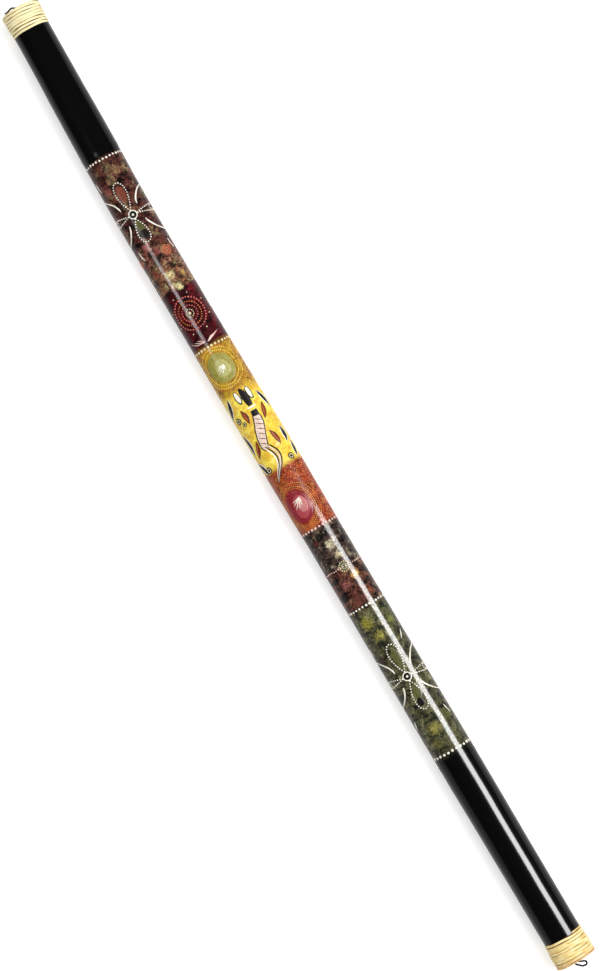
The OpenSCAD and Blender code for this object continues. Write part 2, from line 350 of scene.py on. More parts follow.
# Bands of the painted culm: where each starts, its dark, its light and its dabbed colour, and
# how coarsely it is sponged.
BANDS = [
    (-600, "#050505", "#070607", "#070707", 0.0),
    (-409, "#120C0C", "#683A33", "#AE9468", 1.0),
    (-299, "#1C1110", "#864A40", "#C49474", 1.0),
    (-277, "#2C1B16", "#A06C50", "#E2D49C", 1.0),
    (-247, "#19080A", "#54161E", "#84222C", 0.6),
    (-173.5, "#8A5A20", "#C0942E", "#DCBC48", 0.4),
    (-117, "#DDAE3A", "#F4DE54", "#FAF07C", 0.2),
    (-22.5, "#74261C", "#AA4630", "#D07C38", 0.5),
    (55, "#12100F", "#5A4640", "#C4B696", 1.0),
    (106, "#141010", "#744438", "#B88E6A", 1.0),
    (154.5, "#1D1E19", "#626042", "#A09C70", 1.0),
    (336.5, "#050505", "#070607", "#070707", 0.0),
]
BAND_EDGE = 1.5                 # millimetres over which one band fades into the next
EDGE_WANDER = 3                 # millimetres by which the edge of a band wanders

# Larger soft dabs of a sponge: place along the stick, place round it, reach and colour.
SPONGED = [
    (-392, 6, 13, "#8E6E4E"), (-374, -14, 11, "#9A5C54"), (-301, -7, 12, "#A8645C"),
    (-382, 14, 10, "#1C1312"), (-352, -12, 13, "#1A1110"), (-336, 13, 12, "#1C1312"),
    (-322, -4, 11, "#1E1413"), (-284, -3, 10, "#221614"),
    (-262, 1, 10, "#E6D69A"), (-247, 3, 9, "#E9DDA0"), (-259, 16, 8, "#C8A45C"),
    (-270, -14, 9, "#96483E"), (78, 0, 12, "#D8CCAA"), (92, 3, 9, "#CFC09A"),
    (119, 8, 10, "#DDB45C"), (124, -8, 11, "#9A5E58"), (142, 14, 9, "#8A4C38"),
    (70, -14, 9, "#5E2420"), (172, -10, 16, "#98903E"), (190, -4, 12, "#A89E50"),
    (180, 18, 12, "#7E8440"), (216, -18, 13, "#3E2A26"), (262, -17, 12, "#3A2C28"),
    (306, -4, 15, "#A09850"), (322, -10, 13, "#6E6A3C"), (300, 16, 12, "#5E6232")]


def band_stops(column):
    """The ramp stops of one column of the bands, over the whole length of the stick."""
    stops = []
    for i, band in enumerate(BANDS):
        if i:
            at = (band[0] + HALF_L) / (2 * HALF_L)
            soft = BAND_EDGE / (2 * HALF_L)
            stops += [(at - soft, BANDS[i - 1][column]), (at + soft, band[column])]
    return stops


def painted_lacquer():
    """Acrylic colour sponged on bamboo and sealed with clear gloss lacquer. The sponge leaves
    grainy mottling, and the lacquer over it gives sharp reflections where the culm is plain."""
    def along(tree):
        wander = EDGE_WANDER * M_PER_MM
        ragged = add(tree, "ShaderNodeMath", {
            0: grain(tree, (3, 4, 4)), 1: wander, 2: x_of(tree)}, operation="MULTIPLY_ADD").outputs[0]
        return add(tree, "ShaderNodeMapRange", {
            "Value": ragged, "From Min": wander / 2 - HALF_L * M_PER_MM,
            "From Max": wander / 2 + HALF_L * M_PER_MM}).outputs[0]

    def colour(tree):
        share = along(tree)
        dark, light, dab, coarse = (ramp_of(tree, share, band_stops(c)) for c in (1, 2, 3, 4))
        streak = ramp_of(tree, grain(tree, (6, 10, 10), 6, 0.7, distortion=0.5),
                         [(0.42, 0.0), (0.6, 1.0)])
        dabbed = ramp_of(tree, grain(tree, (12, 11, 11), 7, 0.72, (7, 3, 1), 0.3),
                         [(0.52, 0.0), (0.72, 1.0)])
        ground = blend_of(tree, streak, dark, light)
        ground = blend_of(tree, dabbed, ground, dab)
        broken = grain(tree, (2.4, 2.8, 2.8), 5, 0.75, (3, 9, 5))
        point = point_of(tree)
        for s, v, reach, sponge_colour in SPONGED:
            away = add(tree, "ShaderNodeVectorMath", {
                0: point, 1: list(on_skin(s, v, 0) * M_PER_MM)}, operation="DISTANCE").outputs["Value"]
            near = add(tree, "ShaderNodeMapRange", {
                "Value": away, "From Min": 0.0, "From Max": reach * M_PER_MM,
                "To Min": 1.35, "To Max": 0.35}).outputs[0]
            touched = add(tree, "ShaderNodeMath", {0: near, 1: broken}, operation="MULTIPLY")
            cover = ramp_of(tree, touched.outputs[0], [(0.4, 0.0), (0.58, 0.9)])
            ground = blend_of(tree, cover, ground, linear(sponge_colour))
        speck = ramp_of(tree, grain(tree, (1.9, 2.1, 2.1), 4, 0.8), [(0.4, 0.3), (0.56, 1.1)])
        return blend_of(tree, coarse, ground, blend_of(tree, 1.0, ground, speck, "MULTIPLY"))

    def height(tree):
        sponge = add(tree, "ShaderNodeMath", {
            0: grain(tree, (0.9, 1.0, 1.0), 3, 0.75),
            1: ramp_of(tree, along(tree), band_stops(4))}, operation="MULTIPLY").outputs[0]
        return add(tree, "ShaderNodeMath", {
            0: sponge, 1: 0.8, 2: grain(tree, (9, 5, 5))}, operation="MULTIPLY_ADD").outputs[0]

    return surface("painted_gloss_lacquer", colour, height, 0.02, Roughness=0.15, IOR=1.2)


LACQUER = painted_lacquer()


def bore_outline():
    """The bore from the lower end to the upper end, with the rims that are left at the joints."""
    made = [(CULM_END, BORE_R)]
    foot, crest = 3.25, 2       # half the width of a rim where it leaves the bore and at its edge
    for s in reversed(JOINTS):
        for ds, dr in ((foot, 0), (crest, RIM), (-crest, RIM), (-foot, 0)):
            made.append((s + ds, BORE_R - dr))
    return made + [(-CULM_END, BORE_R)]


def make_culm():
    """The lacquered culm: its outside, its open bore and the two faces between them."""
    sides, rings = 120, 440
    s_out = np.linspace(-CULM_END, CULM_END, rings)
    turn = np.arange(sides) * 2 * math.pi / sides
    s_grid, turn_grid = np.meshgrid(s_out, turn, indexing="ij")
    outer = place(s_grid, turn_grid, culm_r(s_grid, turn_grid)).reshape(-1, 3)
    bore = np.array(bore_outline())
    s_grid, turn_grid = np.meshgrid(bore[:, 0], turn, indexing="ij")
    inner = place(s_grid, turn_grid, np.repeat(bore[:, 1], sides).reshape(s_grid.shape))
    points = np.concatenate([outer, inner.reshape(-1, 3)])
    rows = rings + len(bore)
    culm = make("lacquered_culm", points, grid_faces(rows, sides, closed=True), LACQUER)
    culm.data.set_sharp_from_angle(angle=math.radians(40))
    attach(culm, "stick")
    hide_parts("bamboo_tube")


make_culm()


# ---------------------------------------------------------------- painted artwork

SINK = 0.12                     # how far a stroke's underside lies in the lacquer

PAINTS = {                      # each paint's body colour and its thin or worn colour
    "white": ("#F4F0E4", "#D8CFBE"),
    "cream": ("#EFE3B8", "#D2BE88"),
    "rose_white": ("#EBCBC0", "#C89A90"),
    "gold": ("#D9A93E", "#B07A28"),
    "yellow": ("#F0E058", "#DDBE38"),
    "orange": ("#D27A32", "#A8521F"),
    "salmon": ("#CC6A5E", "#A84A44"),
    "dusty_pink": ("#C27E7A", "#AC5E60"),
    "red_brown": ("#8C2F22", "#5E1C16"),
    "rose_red": ("#8E2630", "#6E171F"),
    "rose": ("#A8484C", "#8E3238"),
    "olive": ("#9C9548", "#7E7634"),
    "pale_olive": ("#B0AC6C", "#9C9650"),
    "black": ("#0C0B0B", "#1B1512"),
    "pinkish_white": ("#E6D2C2", "#C4A696"),
    "moss": ("#5A5A2C", "#3E4022"),
    "rust": ("#7C3A26", "#552418"),
}


class Artwork:
    """The raised strokes of every paint, one closed shape each, gathered by paint."""

    def __init__(self):
        self.points = {paint: [] for paint in PAINTS}
        self.faces = {paint: [] for paint in PAINTS}
        self.count = {paint: 0 for paint in PAINTS}

    def take(self, paint, points, faces):
        start = self.count[paint]
        self.points[paint].append(points)
        self.faces[paint] += [tuple(start + i for i in f) for f in faces]
        self.count[paint] += len(points)

    def dots(self, paint, places, d, height=0.3, base=0.0):
        """Round dots of thick paint, each a low dome."""
        sides = 10 if d > 1.8 else 7
        turn = np.arange(sides) * 2 * math.pi / sides
        rings = [(0.5, -SINK), (0.44, 0.6), (0.24, 0.95)]       # share of the width, of the height
        faces = grid_faces(len(rings), sides)
        top = len(rings) * sides
        faces += [(2 * sides + j, 2 * sides + (j + 1) % sides, top) for j in range(sides)]
        faces.append(tuple(range(sides))[::-1])
        for s, v in places:
            size = d * rng.uniform(0.88, 1.1)
            ss, vv, lift = [], [], []
            for share, h in rings:
                ss += list(s + share * size * np.cos(turn))
                vv += list(v + share * size * np.sin(turn))
                lift += [base + (h * height if h > 0 else h)] * sides
            points = on_skin(np.array(ss + [s]), np.array(vv + [v]), np.array(lift + [base + height]))
            self.take(paint, points, faces)

    def stroke(self, paint, route, width, height=0.22, base=0.0, across=5, steps=5):
        """A brush stroke along a route of (s, v), fullest in the middle. width may be a list."""
        line = eased([(s, v, 0) for s, v in route], steps)[:, :2]
        n = len(line)
        share = np.linspace(0, 1, n)
        if isinstance(width, (int, float)):
            widths = width * np.clip(np.minimum(share, 1 - share) / 0.12, 0.12, 1) ** 0.6
        else:
            widths = np.interp(share, np.linspace(0, 1, len(width)), width)
        ahead = np.gradient(line, axis=0)
        ahead /= np.maximum(np.linalg.norm(ahead, axis=1, keepdims=True), 1e-9)
        out = np.stack([-ahead[:, 1], ahead[:, 0]], axis=1)
        u = np.linspace(-1, 1, across)
        crown = height * (1 - np.abs(u) ** 4)
        u_all = np.concatenate([u, u[::-1][1:-1]])
        lift = np.concatenate([np.where(np.abs(u) == 1, -SINK, crown), np.full(across - 2, -SINK)])
        flat = line[:, None, :] + out[:, None, :] * (u_all[None, :, None] * widths[:, None, None] / 2)
        lifts = np.broadcast_to(base * (lift > 0) + lift, flat.shape[:2])
        points = on_skin(flat[..., 0].ravel(), flat[..., 1].ravel(), lifts.ravel())
        self.take(paint, points, [f[::-1] for f in capped_faces(n, len(u_all))])

    def patch(self, paint, s, v, half_s, half_v, height=0.1, tilt=0.0, wobble=0.0, sides=36):
        """A flat rounded patch of paint."""
        turn = np.arange(sides) * 2 * math.pi / sides
        phase = rng.uniform(0, 6.3)
        edge = 1 + wobble * (np.sin(3 * turn + phase) + 0.6 * np.sin(5 * turn + 2 * phase))
        rings = [0.04, 0.25, 0.5, 0.75, 0.93, 1.0]
        c, k = math.cos(tilt), math.sin(tilt)
        ss, vv, lift = [], [], []
        for under in (False, True):
            for share in (rings[::-1] if under else rings):
                x, y = share * half_s * edge * np.cos(turn), share * half_v * edge * np.sin(turn)
                ss += list(s + c * x - k * y)
                vv += list(v + k * x + c * y)
                lift += [-SINK if under or share == 1.0 else height] * sides
        points = on_skin(np.array(ss), np.array(vv), np.array(lift))
        self.take(paint, points, [f[::-1] for f in capped_faces(2 * len(rings), sides)])

    def ring(self, paint, s, v, r, width, height=0.22, base=0.0):
        """A closed round line."""
        turns = [i * math.pi / 12 for i in range(25)]
        route = [(s + r * math.cos(a), v + r * math.sin(a)) for a in turns]
        self.stroke(paint, route, [width, width], height, base, steps=3)

    def build(self):
        """Makes one piece of each paint's strokes."""
        for paint, (body, thin) in PAINTS.items():
            piece = make(paint + "_paint", np.concatenate(self.points[paint]), self.faces[paint],
                         acrylic(paint, body, thin))
            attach(piece, "stick")


def acrylic(paint, body, thin):
    """Acrylic artist's colour laid on thick under the lacquer: slightly uneven and glossy."""
    def colour(tree):
        return ramp_of(tree, grain(tree, (1.6, 1.6, 1.6), 3, 0.6), [(0.36, thin), (0.56, body)])
    return surface(paint + "_acrylic", colour, lambda t: grain(t, (0.9, 0.9, 0.9)), 0.04,
                   Roughness=0.3, IOR=1.2)


art = Artwork()
GIRTH = 2 * math.pi * GIRTH_R


def ring_of_dots(paint, s, d, pitch):
    """Dots all round the stick at s."""
    count = round(GIRTH / pitch)
    art.dots(paint, [(s + rng.uniform(-0.3, 0.3), i * GIRTH / count + rng.uniform(-0.2, 0.2))
                     for i in range(count)], d, 0.45)


def spaced(route, pitch):
    """Places a pitch apart along a fine route."""
    route = np.array(route, float)
    run = np.concatenate([[0], np.cumsum(np.linalg.norm(np.diff(route, axis=0), axis=1))])
    at = np.linspace(0, run[-1], max(2, round(run[-1] / pitch) + 1))
    return np.stack([np.interp(at, run, route[:, 0]), np.interp(at, run, route[:, 1])], axis=1)


def dotted_oval(paint, s, v, half_s, half_v, d, pitch):
    """Dots a pitch apart along an oval line."""
    angles = [2 * math.pi * i / 90 for i in range(91)]
    route = [(s + half_s * math.cos(a), v + half_v * math.sin(a)) for a in angles]
    art.dots(paint, spaced(route, pitch)[:-1], d)


def petal_route(length, half_w):
    """One petal along +s: narrow and open at the flower, round at its tip."""
    start = 5.5
    made = []
    for i in range(61):
        a = 2 * math.pi * i / 60
        x = (1 - math.cos(a)) / 2
        made.append((start + (length - start) * x, half_w * math.sin(a) * x ** 0.45))
    return made[2:-2]


def turned_route(route, s, v, angle):
    """The route turned by an angle and moved to s and v."""
    c, k = math.cos(angle), math.sin(angle)
    return [(s + c * x - k * y, v + k * x + c * y) for x, y in route]


def flower(s, v, upper_l, lower_l, side_l, fills):
    """A dotted flower: a ringed centre, four petals of dots and four swept strokes."""
    for length, angle, half_w in ((lower_l, 0, 8.4), (upper_l, math.pi, 8.4),
                                  (side_l, math.pi / 2, 5.4), (side_l, -math.pi / 2, 5.4)):
        route = turned_route(petal_route(length, half_w), s, v, angle)
        art.dots("white", spaced(route, 2.9), 1.75, 0.4)
    for paint, ds, dv, half_s, half_v in fills:
        art.patch(paint, s + ds, v + dv, half_s, half_v, 0.05, wobble=0.06)
    art.patch("black", s, v, 4.4, 4.4, 0.12)
    art.ring("white", s, v, 4.6, 1.5, 0.35)
    art.dots("white", [(s, v)], 2.6, 0.4, 0.12)
    for ds in (-1, 1):
        for dv in (-1, 1):
            route = [(9, 10.5), (13, 11.5), (18.5, 15), (24, 21), (28, 29), (29, 36)]
            art.stroke("white", [(s + ds * (x + rng.uniform(-0.6, 0.6)), v + dv * y)
                                 for x, y in route], [1.2, 2.5, 2.3, 1.9, 1.5, 0.6], 0.3)


def feather_mark(paint, s, v, size, angle):
    """A little bunch of strokes that fan out from one foot."""
    for spread, reach in ((-0.6, 0.8), (-0.3, 1.0), (0.0, 1.15), (0.3, 1.0), (0.6, 0.75)):
        a = angle + spread
        foot = (s - 0.4 * size * math.cos(angle), v - 0.4 * size * math.sin(angle))
        tip = (foot[0] + reach * size * math.cos(a), foot[1] + reach * size * math.sin(a))
        half = ((foot[0] + tip[0]) / 2, (foot[1] + tip[1]) / 2 + 0.4)
        art.stroke(paint, [foot, half, tip], [0.6, 1.7, 0.5], 0.22, 0.12)


def ring_dot(s, v, r):
    """A small black ring with a pale middle."""
    art.patch("black", s, v, r, r, 0.12, sides=20)
    art.ring("cream", s, v, r * 0.52, r * 0.26, 0.22, 0.1)
    art.dots("black", [(s, v)], r * 0.6, 0.28, 0.1)


def leaf(s, v, length, width, angle, fill="black", rim="white"):
    """A pointed leaf with a pale outline."""
    c, k = math.cos(angle), math.sin(angle)
    spine = [(s + c * x * length / 2, v + k * x * length / 2 + 0.12 * width * math.cos(2 * x))
             for x in (-1, -0.6, -0.2, 0.2, 0.6, 1)]
    art.stroke(rim, spine, [0.2, 0.66 * width, width, width, 0.66 * width, 0.2], 0.1, across=9)
    inner = [0.1, 0.44 * width, 0.7 * width, 0.7 * width, 0.44 * width, 0.1]
    art.stroke(fill, spine, inner, 0.1, 0.1, across=9)


def sprinkle(paints, s_from, s_to, pitch, d, keep_off, chance):
    """Small dots in staggered rows round the stick, none of them where an oval is."""
    rows = int((s_to - s_from) / pitch)
    per_row = int(GIRTH / pitch)
    found = {paint: [] for paint in paints}
    for i in range(rows):
        for j in range(per_row):
            s = s_from + (i + 0.5) * pitch + rng.uniform(-0.35, 0.35) * pitch
            v = (j + 0.5 * (i % 2)) * GIRTH / per_row + rng.uniform(-0.3, 0.3) * pitch
            v = (v + GIRTH / 2) % GIRTH - GIRTH / 2
            inside = any(((s - o[0]) / o[2]) ** 2 + ((v - o[1]) / o[3]) ** 2 < 1 for o in keep_off)
            if not inside and rng.random() < chance:
                found[rng.choice(paints)].append((s, v))
    for paint, places in found.items():
        art.dots(paint, places, d, 0.2)


BACK = GIRTH / 2                # v of the line along the underside


def upper_flower_band():
    """A flower of dots on brown, with small rings and loose strokes."""
    ring_of_dots("white", -409, 2.8, 4.4)
    for v in (-1, BACK - 1):
        flower(-339.5, v, 39, 33.5, 46, [
            ("rust", -26, 0, 10, 5), ("moss", 14, 0, 7, 4), ("black", 24, 0, 6, 5)])
    for v in (12.6, -30, BACK - 8):
        for r, paint in ((5.2, "orange"), (3.4, "salmon"), (1.7, "orange")):
            art.ring(paint, -289, v, r, 1.1, 0.18)
    for s, v in ((-294, 22), (-296, -20), (-380, 30), (-384, -26)):
        art.stroke("white", [(s - 6, v), (s, v + 1), (s + 6, v + 3)], [0.5, 1.8, 0.5], 0.25)


def waterhole_band():
    """A waterhole of dotted rings, in place of a plain field."""
    for v in (-2.6, BACK - 2.6):
        for r, paint, d, pitch in ((4.5, "cream", 1.4, 2.4), (9, "salmon", 1.8, 2.9),
                                   (13.5, "orange", 1.6, 2.7), (18.5, "salmon", 2.2, 3.3)):
            dotted_oval(paint, -215.5, v, r, r, d, pitch)
        art.dots("cream", [(-215.5, v)], 3.2, 0.4)
        for k in range(8):
            a = k * math.pi / 4 + 0.39
            art.dots("cream", [(-215.5 + 23.5 * math.cos(a), v + 23.5 * math.sin(a))], 1.6)
    for k in range(3):
        art.stroke("rose_white", [(-179, -1), (-182, 3 + 2 * k), (-184 - k, 8 + 4 * k)],
                   [1.6, 1.4, 0.3], 0.25)
        art.stroke("rose_white", [(-180, -4), (-183 + k, -8 - 3 * k), (-185, -12 - 5 * k)],
                   [0.6, 1.5, 0.5], 0.25)


def olive_oval_band():
    """An olive oval in rings of dots, on gold."""
    ring_of_dots("cream", -173.5, 3.0, 4.6)
    ovals = [(-147, -3.5), (-147, BACK - 3.5)]
    sprinkle(["gold", "orange", "yellow"], -171, -119, 3, 1.2,
             [(s, v, 28, 27) for s, v in ovals], 0.85)
    for s, v in ovals:
        art.patch("olive", s, v, 18, 16.5, 0.1)
        art.patch("pale_olive", s + 1, v + 1, 11, 9, 0.14, wobble=0.05)
        for grow, paint, d in ((2.2, "yellow", 1.6), (5, "gold", 1.4), (7.6, "yellow", 1.4),
                               (10, "orange", 1.3)):
            half_s = 18 + grow if grow < 6 else 18 + grow * 0.75
            dotted_oval(paint, s, v, half_s, 16.5 + grow, d, 2.3)
        feather_mark("white", s + 0.5, v + 1, 10.5, -0.9)


def lizard(s, v):
    """A lizard of the maker's own, head towards the upper end, in strokes of black and pink."""
    def at(route):
        return [(s + x, v + y) for x, y in route]
    art.stroke("black", at([(-51, -2.2), (-47, -0.8), (-41, 0.2), (-35, 0.8), (-29, 0.8)]),
               [1.2, 7.4, 10.4, 9, 6], 0.16, across=9)
    for dv in (6.6, -7.6):
        art.patch("black", s - 42.5, v + dv, 8.4, 3.4, 0.08, 0.1)
        art.patch("white", s - 43, v + dv, 7, 2.3, 0.16, 0.1)
    art.stroke("white", at([(-27.5, -4.2), (-27, 0.8), (-27.5, 5.8)]), 2.4, 0.2)
    art.stroke("yellow", at([(-25, -4.2), (-24.5, 0.8), (-25, 5.8)]), 1.7, 0.2)
    art.stroke("black", at([(-23.5, 0.8), (-20, 0.6), (-15, 0.2)]), [8.4, 9.6, 10], 0.14, across=9)
    body = at([(-16.5, 0.4), (-9, -0.8), (-1, -4), (8, -7), (16.5, -8.6), (22, -8)])
    art.stroke("black", body, [11, 14, 14.6, 13.8, 11.6, 5], 0.12, across=9)
    art.stroke("pinkish_white", body, [8.4, 11, 11.6, 10.8, 8.6, 2.8], 0.1, 0.1, across=9)
    for k in range(6):
        x = -13 + 5.4 * k
        y = -0.2 - max(0, x + 9) * 0.3
        art.stroke("rust", at([(x - 2, y - 4.2), (x, y - 0.6), (x + 1.4, y + 0.8), (x + 3.2, y + 4)]),
                   [0.5, 1.7, 1.5, 0.5], 0.12, 0.2)
    for lane, paint in ((2.6, "black"), (0, "pinkish_white"), (-2.6, "black"), (-4.8, "white")):
        art.stroke(paint, at([(18, -6 + lane), (26, -1.8 + lane), (33, -0.6 + lane * 0.9),
                              (41, -3 + lane * 0.7), (49, -9 + lane * 0.5), (58, -15 + lane * 0.2)]),
                   [1.7, 2.1, 2, 1.7, 1.3, 0.4], 0.2, 0.03 * lane + 0.1)
    for x, y, length, angle in ((-18.5, 11, 20, -0.34), (-21, -11, 18, 0.12),
                                (13.5, 6.5, 20, 0.2), (17, -18.6, 21, -0.42)):
        leaf(s + x, v + y, length, 6.6, angle, "red_brown", "black")
        art.stroke("orange", at([(x - length * 0.3, y - length * 0.3 * math.tan(angle)), (x, y),
                                 (x + length * 0.3, y + length * 0.3 * math.tan(angle))]),
                   1.2, 0.1, 0.2)


def lizard_band():
    """The lizard on yellow, among leaves and small rings."""
    sprinkle(["orange", "gold"], -115, -25, 3.1, 1.0,
             [(-69, -2, 46, 14), (-69, BACK - 2, 46, 14)], 0.35)
    for v in (0, BACK):
        lizard(-66.5, v + 2.4)
        for s, dv, r in ((-87, -19, 4), (-81, -13.5, 2.8), (-24.5, -17, 4), (-26.5, 14, 4)):
            ring_dot(s, v + dv, r)
        for s, dv, length, angle in ((-102, -22.5, 26, -0.45), (-59, -25, 27, 0.1),
                                     (-29, -25, 20, 0.5), (-52, 21, 19, -0.08),
                                     (-33, 24, 19, -0.2), (-96, 22.5, 24, 0.4)):
            leaf(s, v + dv, length, 9.5, angle)


def red_oval_band():
    """A red oval in rings of dots, on orange."""
    ovals = [(26, -8), (26, BACK - 8)]
    sprinkle(["orange", "gold", "rust"], -21, 53, 2.6, 1.2,
             [(s, v, 28, 24) for s, v in ovals], 0.85)
    for s, v in ovals:
        art.patch("rose_red", s, v, 19.5, 14.5, 0.12)
        art.patch("rose", s + 1, v + 2.5, 14, 9.5, 0.14, -0.15, 0.05)
        art.patch("dusty_pink", s - 1, v + 4.5, 9.5, 5.8, 0.17, -0.15, 0.05)
        for grow, paint, d in ((1.8, "orange", 1.4), (4.2, "gold", 1.4), (6.6, "orange", 1.3),
                               (9, "gold", 1.2)):
            dotted_oval(paint, s, v, 19.5 + grow * 0.9, 14.5 + grow, d, 2.2)
        feather_mark("white", s - 5.5, v + 2, 12, -0.75)


def brown_band():
    """Two rings of dots and a small knot of dots, on dark brown."""
    ring_of_dots("rose_white", 55, 2.9, 4.6)
    ring_of_dots("rose_white", 106, 1.7, 3.1)
    for v in (1.3, BACK):
        art.patch("moss", 106, v, 5.4, 5.4, 0.08)
        dotted_oval("cream", 106, v, 5.6, 5.6, 1.5, 2.5)
        dotted_oval("white", 106, v, 2.6, 2.6, 1.1, 1.9)


def lower_flower_band():
    """A flower of dots on dark green, between two rings of dots."""
    ring_of_dots("white", 154.5, 2.8, 4.4)
    for v in (-1, BACK - 1):
        flower(243, v, 39.5, 40, 46, [("moss", -23, 1, 11, 5), ("moss", 19, 1, 9, 5),
                                      ("black", 31, -1.5, 5.5, 4)])
        for s, dv, rise in ((200, 20, -6), (294, 22, 3.5), (202, -27, 4), (295, -24, -4)):
            art.stroke("white", [(s - 5, v + dv - rise / 2), (s, v + dv), (s + 5, v + dv + rise / 2)],
                       [0.6, 2.0, 0.6], 0.28)
    ring_of_dots("white", 336.5, 3.3, 5.2)


for paint_band in (upper_flower_band, waterhole_band, olive_oval_band, lizard_band, red_oval_band,
                   brown_band, lower_flower_band):
    paint_band()
art.build()


# ---------------------------------------------------------------- rattan

def split_rattan():
    """Split rattan, varnished: pale straw to honey, with fine fibres along each strip, which
    run round the stick. Towards the upper end it is blended paler as a painted highlight, and its
    outermost rows at the lower end are blended to a darker pinkish tan as painted shade at the edge."""
    def colour(tree):
        fibre = ramp_of(tree, grain(tree, (0.35, 9, 9), 3, 0.6), [(0.3, "#CDA45A"), (0.6, "#F2E0A6")])
        patch = ramp_of(tree, grain(tree, (3.2, 9, 9), 3, 0.6, (4, 0, 2)),
                        [(0.35, "#DDB25C"), (0.5, "#EFD78F"), (0.66, "#FAF2C8")])
        where = x_of(tree)
        # Painted shade: the outermost rows of the lower end are blended half way to a darker pinkish
        # tan.
        rim = add(tree, "ShaderNodeMapRange", {
            "Value": where, "From Min": 0.5925, "From Max": 0.5985}).outputs[0]
        # Painted highlight: the rattan is blended up to 0.45 of the way to pale cream towards the
        # upper end.
        upper_end = add(tree, "ShaderNodeMapRange", {
            "Value": where, "From Min": 0.5, "From Max": -0.5, "To Max": 0.45}).outputs[0]
        straw = blend_of(tree, 0.45, patch, fibre)
        straw = blend_of(tree, upper_end, straw, linear("#FBF6D2"))
        return blend_of(tree, rim, straw, blend_of(tree, 0.5, straw, linear("#C98C62")))
    return surface("varnished_split_rattan", colour, lambda t: grain(t, (0.3, 7, 7), 3), 0.08,
                   Roughness=0.45, IOR=1.22)


def gap_shade_rattan():
    """Painted shade: rattan colour darkened to dark honey, standing for the shade between two turns.
    """
    def colour(tree):
        return ramp_of(tree, grain(tree, (1, 5, 5)), [(0.3, "#4E3614"), (0.7, "#7A5824")])
    return surface("shaded_rattan", colour, Roughness=0.7, IOR=1.2)


# The second material is painted shade, for the ring that shows between the strip's turns.
RATTAN, GAP_SHADE = split_rattan(), gap_shade_rattan()


def proud_at(side, share):
    """How far the strip stands over its seat, at a share of the way out to the rim."""
    low, high = PROUD[side]
    return np.interp(share, [0, 0.6, 1], [low, high, high])


def wound_wrap(name, side, start_turn):
    """One strip wound from the culm out to the rim. It starts half under its own second turn
    and with a blunt cut, and each turn is a low arch of its own height and width."""
    turns, seat = TURNS[side], SEAT_R[side] + LACQUER_T
    edge = HALF_L - turns * STRIP_W
    across, per_turn, tail = 9, 90, 0.42
    arch, under = 0.62, 0.25    # how far the edges drop, and how far the crown stays low
    total = int(per_turn * (turns + tail))
    tune = [(rng.uniform(-0.18, 0.18), rng.uniform(0.05, 0.5), rng.uniform(0, 6.3))
            for _ in range(turns + 2)]
    u = np.linspace(-1, 1, across)
    points = []
    for i in range(total + 1):
        count = i / per_turn
        a, b = tune[int(count)], tune[int(count) + 1]
        mixed = [a[k] + (b[k] - a[k]) * (count % 1) for k in range(3)]
        turn = start_turn + side * count * 2 * math.pi
        sway = 0.26 * math.sin(2 * turn + mixed[2]) + 0.18 * math.sin(5 * turn + 2 * mixed[2])
        centre = edge + STRIP_W * count + 0.1 * STRIP_W
        reach = np.clip(centre + sway + u * (STRIP_W / 2 - mixed[1] / 2), edge + 0.15 * sway,
                        HALF_L - 0.02)
        top = SEAT_R[side] + proud_at(side, (reach - edge) / (HALF_L - edge)) + mixed[0] - under
        lift = top - arch * np.abs(u) ** 2.4
        s_all = np.concatenate([reach, reach[::-1][[0, -1]]])
        r_all = np.concatenate([np.maximum(lift, seat + 0.15), [seat + 0.02] * 2])
        points.append(place(side * s_all, np.full(len(s_all), turn), r_all))
    wrap = make(name, np.concatenate(points), capped_faces(total + 1, across + 2), RATTAN)
    wrap.data.set_sharp_from_angle(angle=math.radians(50))
    return wrap


def gap_shade_ring(name, side):
    """A thin ring coloured dark as painted shade, which shows between the turns."""
    sides, thin, thick = 96, 0.2, 0.8
    edge = HALF_L - TURNS[side] * STRIP_W
    low = SEAT_R[side] + LACQUER_T + 0.02
    first, last = edge + 1.4, HALF_L - 0.6
    outline = [(first, low), (first, low + thin), (edge + 0.6 * (HALF_L - edge), low + thick),
               (last, low + thick), (last, low)]
    turn = np.arange(sides) * 2 * math.pi / sides
    s, r = np.array(outline).T
    s_grid, turn_grid = np.meshgrid(side * s, turn, indexing="ij")
    points = place(s_grid, turn_grid, np.repeat(r, sides).reshape(s_grid.shape)).reshape(-1, 3)
    return make(name, points, grid_faces(len(outline), sides, closed=True), GAP_SHADE)


def coiled_cover(name, side):
    """A flat cover coiled from strip, from the cord's hole out to the culm's edge."""
    turns, across, per_turn = 6, 9, 80
    under, wave, arch = 0.15, 0.1, 0.55     # the crown below the face, its rise and fall, its edges
    outer_r = SEAT_R[side] - 0.05
    pitch = (outer_r - HOLE_R) / turns
    u = np.linspace(-1, 1, across)
    points = []
    for i in range((turns + 1) * per_turn):
        count = i / per_turn
        centre = HOLE_R + pitch * (count - 0.45)
        r = np.clip(centre + u * (pitch / 2 - 0.05), HOLE_R, outer_r)
        height = COVER_T - under + wave * math.sin(3.1 * count) - arch * np.abs(u) ** 2.6
        s_all = np.concatenate([CULM_END + height, [CULM_END + 0.05] * 2])
        r_all = np.concatenate([r, r[::-1][[0, -1]]])
        turn = np.full(len(s_all), count * 2 * math.pi + 0.8)
        points.append(place(side * s_all, turn, r_all))
    return make(name, np.concatenate(points), capped_faces(len(points), across + 2), RATTAN)


for end, side, start_turn in (("upper", -1, 2.4), ("lower", 1, 0.47)):
    wrap = wound_wrap(end + "_wound_strip", side, start_turn)
    # A ring in painted shade colour under the strip, which shows dark between the turns.
    under = gap_shade_ring(end + "_painted_gap_shade", side)
    cover = coiled_cover(end + "_coiled_cover", side)
    for piece in (wrap, under, cover):
        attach(piece, "stick")
    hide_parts(end + "_rattan_wrap")
    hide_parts(end + "_end_cover")


# ---------------------------------------------------------------- pieces kept from the design

